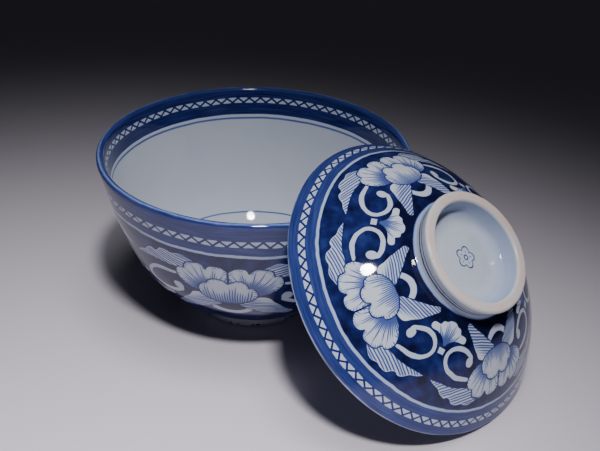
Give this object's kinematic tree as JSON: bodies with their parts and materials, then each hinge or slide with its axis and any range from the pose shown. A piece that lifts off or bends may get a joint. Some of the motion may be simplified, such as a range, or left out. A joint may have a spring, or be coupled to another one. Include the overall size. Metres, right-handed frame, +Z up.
{
  "type": "covered rice bowl",
  "caption": "Footed porcelain rice bowl with a domed lid that leans on its lip, painted with blue and white peony scrolls.",
  "frame": {"origin": "middle of the footprint of bowl and leaning lid, on the surface they stand on", "axes": "+X from the bowl's axis towards the lid, +Z up along the bowl's axis"},
  "size_m": [0.1769, 0.1194, 0.0793],
  "materials": {
    "bowl": "glossy white glaze painted in cobalt blue",
    "lid": "glossy glaze over a mottled cobalt ground with white flowers"
  },
  "bodies": {
    "bowl": {"bowl": "bowl"},
    "lid": {"lid": "lid"}
  },
  "joints": [
    {"name": "lid_lift", "type": "slide", "parent": "bowl", "child": "lid", "axis": [0, 0, 1], "range_m": [0, 0.08]}
  ]
}
